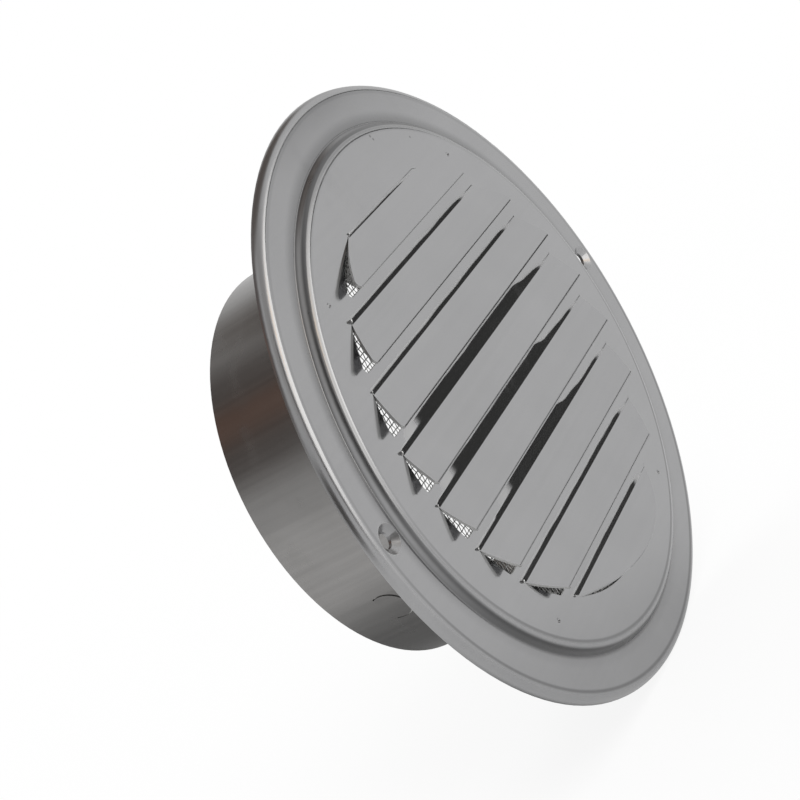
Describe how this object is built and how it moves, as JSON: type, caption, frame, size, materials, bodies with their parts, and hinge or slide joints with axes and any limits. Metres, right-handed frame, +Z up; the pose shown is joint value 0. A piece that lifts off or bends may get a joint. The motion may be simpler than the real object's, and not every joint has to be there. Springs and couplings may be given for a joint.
{
  "type": "weather louvre",
  "caption": "Round stainless wall vent face with outward louvre blades, an insect mesh behind them and a short spigot that goes into a duct.",
  "frame": {"origin": "on the duct axis, in the plane of the wall that the rim rests on", "axes": "+Y along the duct axis away from the room side of the face, +Z up as installed, +X to the right of a person facing the blades"},
  "size_m": [0.15, 0.0494, 0.15],
  "materials": {
    "polished_sheet": "polished",
    "wire": "drawn wire",
    "satin_sheet": "satin"
  },
  "bodies": {
    "root": {"face_plate": "polished_sheet", "insect_mesh": "wire", "spigot": "satin_sheet"}
  },
  "joints": []
}
